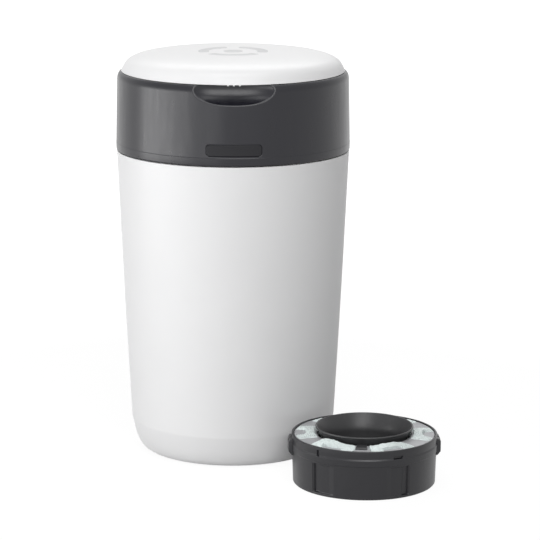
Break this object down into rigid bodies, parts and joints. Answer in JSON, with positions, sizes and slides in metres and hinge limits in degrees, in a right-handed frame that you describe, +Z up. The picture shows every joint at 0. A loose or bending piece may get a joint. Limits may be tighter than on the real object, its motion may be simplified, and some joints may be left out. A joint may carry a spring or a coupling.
{
  "type": "nappy bin",
  "caption": "Round nappy bin with a tapered tub, a lift-off head, a hinged domed lid and a twist-and-seal film cassette, with a spare cassette beside it.",
  "frame": {"origin": "centre of the tub's foot on the floor", "axes": "+Z up along the tub, -Y towards the front with the thumb recess, +X to the right seen from the front"},
  "size_m": [0.3484, 0.3526, 0.442],
  "materials": {
    "white_shell": "satin moulded polypropylene",
    "white_lid": "semi-gloss moulded polypropylene",
    "charcoal": "satin moulded polypropylene",
    "dark_plastic": "satin moulded polypropylene",
    "cassette_grey": "semi-gloss moulded polypropylene",
    "cover_grey": "satin moulded polypropylene",
    "film": "thin pleated polyethylene film",
    "mark_grey": "satin moulded polypropylene",
    "rubber": "soft rubber",
    "steel": "plated steel"
  },
  "bodies": {
    "tub": {"tub_shell": "white_shell", "rubber_feet": "rubber"},
    "head": {"head_shell": "charcoal", "name_plate": "dark_plastic", "cassette_bay": "dark_plastic", "bay_screws": "steel", "bezel_ring": "charcoal", "bezel_screws": "steel", "click_spring": "steel", "grip_fingers": "rubber", "grip_retainer": "charcoal", "cutter_guard": "charcoal", "cutter_blade": "steel", "hinge_pin": "steel"},
    "lid": {"lid_cover": "white_lid", "lid_liner": "white_shell", "lid_seal": "rubber", "lid_mark": "mark_grey"},
    "twist": {"twist_ring": "white_shell", "cassette_housing": "cassette_grey", "cassette_funnel": "dark_plastic", "cassette_cover": "cover_grey", "cassette_film": "film"},
    "refill": {"refill_housing": "cassette_grey", "refill_funnel": "dark_plastic", "refill_cover": "cover_grey", "refill_film": "film"}
  },
  "joints": [
    {"name": "head_lift", "type": "slide", "parent": "tub", "child": "head", "axis": [0, 0, 1], "range_m": [0, 0.12]},
    {"name": "lid_hinge", "type": "hinge", "parent": "head", "child": "lid", "pos_m": [0, 0.125, 0.421], "axis": [-1, 0, 0], "range_deg": [0, 100]},
    {"name": "twist", "type": "hinge", "parent": "head", "child": "twist", "pos_m": [0, 0, 0.396], "axis": [0, 0, 1], "continuous": true},
    {"name": "refill_lift", "type": "slide", "parent": "tub", "child": "refill", "axis": [0, 0, 1], "range_m": [0, 0.15]}
  ]
}
